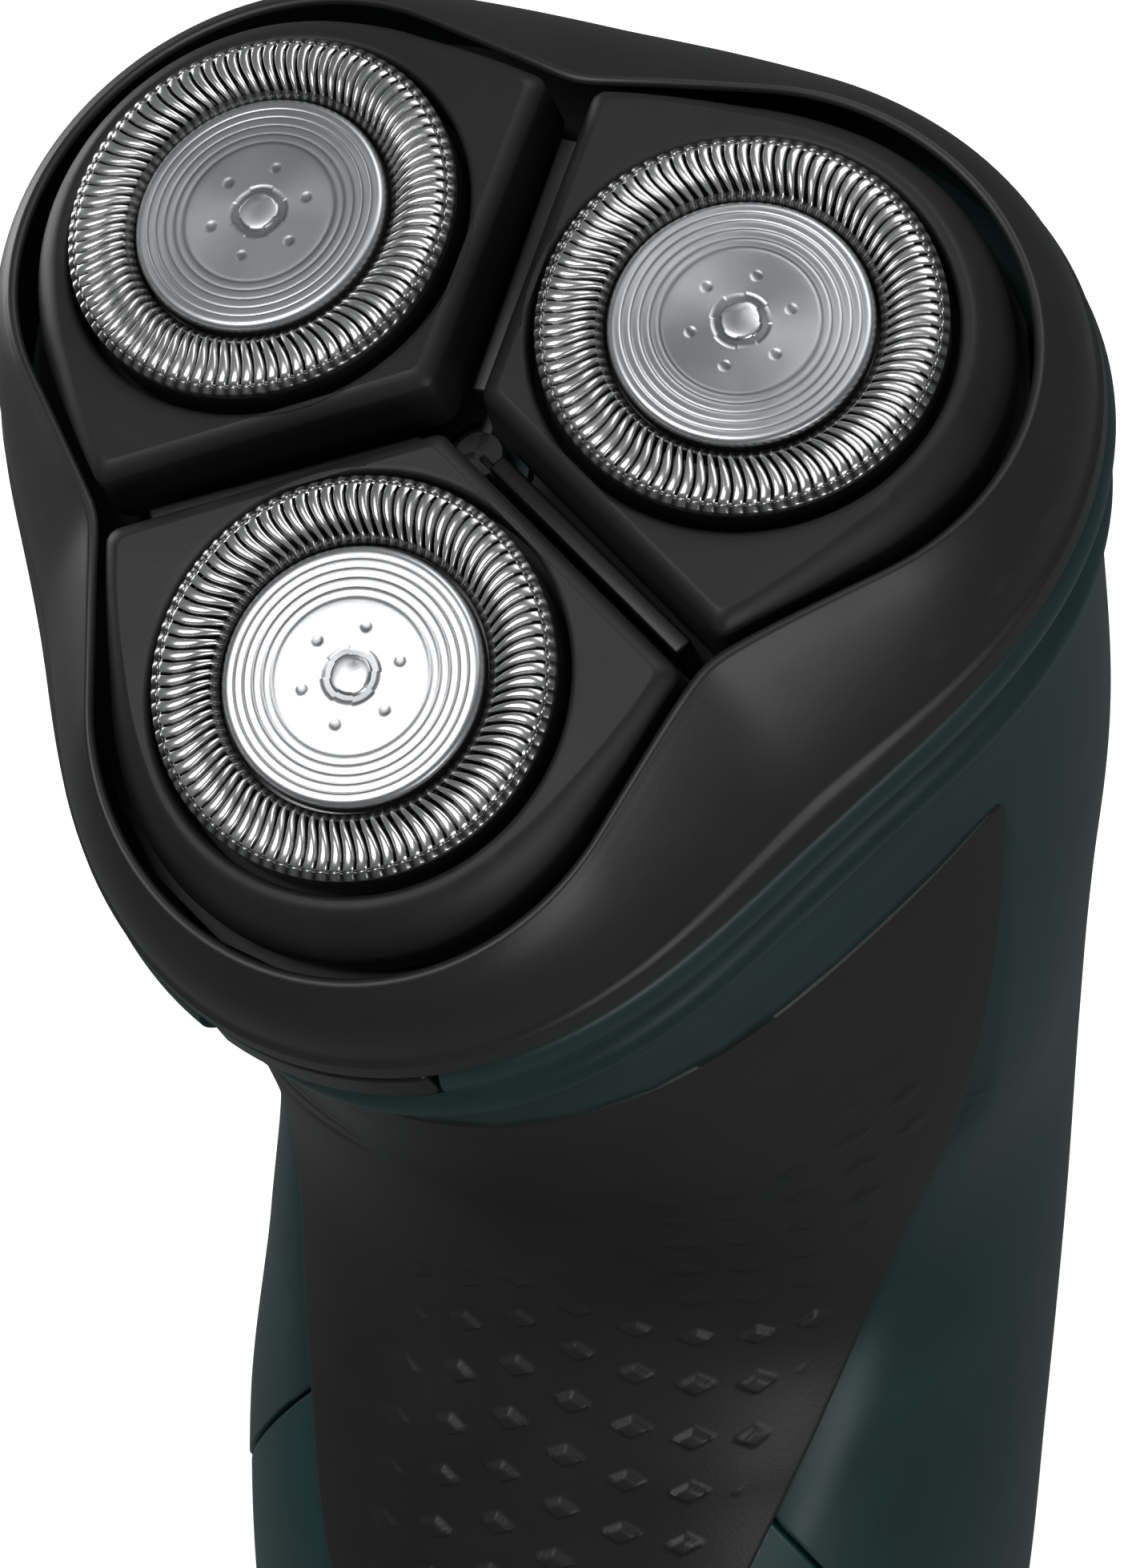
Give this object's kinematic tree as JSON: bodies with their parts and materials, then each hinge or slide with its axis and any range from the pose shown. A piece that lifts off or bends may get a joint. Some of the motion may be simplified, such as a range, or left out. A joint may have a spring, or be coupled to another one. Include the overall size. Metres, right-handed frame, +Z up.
{
  "type": "electric shaver",
  "caption": "Cordless rotary electric shaver standing on its base, with floating slotted-ring heads, a flip-open shaving unit over a hair chamber, a rubber grip and a geared motor drive.",
  "frame": {"origin": "bottom centre of the bounding box, on the surface the base stands on", "axes": "+Z up along the standing shaver, -Y the front that the shaving face looks towards, +X the viewer's right from the front"},
  "size_m": [0.0678, 0.0922, 0.1588],
  "materials": {
    "black_plastic": "moulded matte black",
    "skirt_plastic": "satin black",
    "black_rubber": "soft-touch rubber with moulded studs",
    "green_plastic": "dark green gloss",
    "teal_plastic": "dark teal gloss",
    "guard_steel": "polished steel",
    "disc_steel": "circular brushed",
    "inner_steel": "plain steel",
    "inner_plastic": "natural white",
    "pinion_brass": "plain brass",
    "board": "solder mask",
    "cell": "sleeved metal can",
    "lens": "clear"
  },
  "bodies": {
    "handle": {"collar": "green_plastic", "hinge_pin": "inner_steel", "hair_chamber": "black_plastic", "gearbox_cover": "black_plastic", "gearbox_tray": "black_plastic", "motor": "inner_steel", "motor_damper": "black_rubber", "front_shell": "green_plastic", "rear_shell": "green_plastic", "lower_sleeve": "teal_plastic", "front_grip": "black_rubber", "indicator_lens": "lens", "base_cap": "black_plastic", "base_screw_left": "inner_steel", "base_screw_right": "inner_steel", "charging_socket": "black_plastic", "socket_pin_left": "pinion_brass", "socket_pin_right": "pinion_brass", "chassis": "inner_plastic", "circuit_board": "board", "power_switch": "black_plastic", "battery_cell_left": "cell", "battery_tab_left": "inner_steel", "battery_cell_right": "cell", "battery_tab_right": "inner_steel", "battery_link": "inner_steel"},
    "shaving_unit": {"unit_skirt": "skirt_plastic", "centre_spider": "black_plastic", "retaining_frame": "black_plastic"},
    "retaining_lock": {"retaining_lock": "teal_plastic"},
    "release_button": {"release_button": "black_plastic"},
    "power_button": {"power_button": "black_plastic"},
    "motor_pinion": {"motor_pinion": "pinion_brass"},
    "pod_front": {"pod_front": "black_plastic"},
    "head_front": {"guard_front": "guard_steel", "cap_disc_front": "disc_steel"},
    "cutter_front": {"cutter_front": "inner_steel"},
    "gear_front": {"gear_front": "inner_plastic", "spindle_front": "inner_steel", "spindle_spring_front": "inner_steel"},
    "pod_right": {"pod_right": "black_plastic"},
    "head_right": {"guard_right": "guard_steel", "cap_disc_right": "disc_steel"},
    "cutter_right": {"cutter_right": "inner_steel"},
    "gear_right": {"gear_right": "inner_plastic", "spindle_right": "inner_steel", "spindle_spring_right": "inner_steel"},
    "pod_left": {"pod_left": "black_plastic"},
    "head_left": {"guard_left": "guard_steel", "cap_disc_left": "disc_steel"},
    "cutter_left": {"cutter_left": "inner_steel"},
    "gear_left": {"gear_left": "inner_plastic", "spindle_left": "inner_steel", "spindle_spring_left": "inner_steel"}
  },
  "joints": [
    {"name": "release_button_press", "type": "slide", "parent": "handle", "child": "release_button", "axis": [0, 0.829, 0.5592], "range_m": [0, 0.0014], "stiffness_N_per_m": 900, "springref_m": -0.001},
    {"name": "power_button_press", "type": "slide", "parent": "handle", "child": "power_button", "axis": [0, 1, 0], "range_m": [0, 0.0006], "stiffness_N_per_m": 1500, "springref_m": -0.0008},
    {"name": "unit_hinge", "type": "hinge", "parent": "handle", "child": "shaving_unit", "pos_m": [0, 0.01143, 0.14982], "axis": [-1, 0, 0], "range_deg": [0, 115]},
    {"name": "retaining_lock_turn", "type": "hinge", "parent": "shaving_unit", "child": "retaining_lock", "pos_m": [0, -0.01485, 0.13764], "axis": [0, -0.5592, 0.829], "range_deg": [0, 45]},
    {"name": "pod_front_tilt", "type": "hinge", "parent": "shaving_unit", "child": "pod_front", "pos_m": [0, -0.03346, 0.13536], "axis": [1, 0, 0], "range_deg": [-3, 3], "stiffness_Nm_per_rad": 0.6},
    {"name": "head_front_press", "type": "slide", "parent": "pod_front", "child": "head_front", "axis": [0, 0.6401, -0.7683], "range_m": [0, 0.0012], "stiffness_N_per_m": 500, "springref_m": -0.0008},
    {"name": "cutter_front_spin", "type": "hinge", "parent": "head_front", "child": "cutter_front", "pos_m": [0, -0.03371, 0.13567], "axis": [0, -0.6401, 0.7683], "continuous": true},
    {"name": "gear_front_spin", "type": "hinge", "parent": "handle", "child": "gear_front", "pos_m": [0, -0.01958, 0.11515], "axis": [0, -0.5592, 0.829], "continuous": true},
    {"name": "pod_right_tilt", "type": "hinge", "parent": "shaving_unit", "child": "pod_right", "pos_m": [0.01446, -0.01269, 0.14937], "axis": [-0.5, 0.718, 0.4843], "range_deg": [-3, 3], "stiffness_Nm_per_rad": 0.6},
    {"name": "head_right_press", "type": "slide", "parent": "pod_right", "child": "head_right", "axis": [-0.0875, 0.5144, -0.853], "range_m": [0, 0.0012], "stiffness_N_per_m": 500, "springref_m": -0.0008},
    {"name": "cutter_right_spin", "type": "hinge", "parent": "head_right", "child": "cutter_right", "pos_m": [0.01449, -0.0129, 0.14971], "axis": [0.0875, -0.5144, 0.853], "continuous": true},
    {"name": "gear_right_spin", "type": "hinge", "parent": "handle", "child": "gear_right", "pos_m": [0.01429, 0.00094, 0.12899], "axis": [0, -0.5592, 0.829], "continuous": true},
    {"name": "pod_left_tilt", "type": "hinge", "parent": "shaving_unit", "child": "pod_left", "pos_m": [-0.01446, -0.01269, 0.14937], "axis": [-0.5, -0.718, -0.4843], "range_deg": [-3, 3], "stiffness_Nm_per_rad": 0.6},
    {"name": "head_left_press", "type": "slide", "parent": "pod_left", "child": "head_left", "axis": [0.0875, 0.5144, -0.853], "range_m": [0, 0.0012], "stiffness_N_per_m": 500, "springref_m": -0.0008},
    {"name": "cutter_left_spin", "type": "hinge", "parent": "head_left", "child": "cutter_left", "pos_m": [-0.01449, -0.0129, 0.14971], "axis": [-0.0875, -0.5144, 0.853], "continuous": true},
    {"name": "gear_left_spin", "type": "hinge", "parent": "handle", "child": "gear_left", "pos_m": [-0.01429, 0.00094, 0.12899], "axis": [0, -0.5592, 0.829], "continuous": true},
    {"name": "motor_pinion_spin", "type": "hinge", "parent": "handle", "child": "motor_pinion", "pos_m": [0, -0.0059, 0.12437], "axis": [0, -0.5592, 0.829], "continuous": true}
  ],
  "couplings": [
    {"joint": "cutter_front_spin", "follows": "gear_front_spin", "ratio": 1},
    {"joint": "gear_right_spin", "follows": "gear_front_spin", "ratio": 1},
    {"joint": "cutter_right_spin", "follows": "gear_front_spin", "ratio": 1},
    {"joint": "gear_left_spin", "follows": "gear_front_spin", "ratio": 1},
    {"joint": "cutter_left_spin", "follows": "gear_front_spin", "ratio": 1},
    {"joint": "motor_pinion_spin", "follows": "gear_front_spin", "ratio": -2}
  ]
}
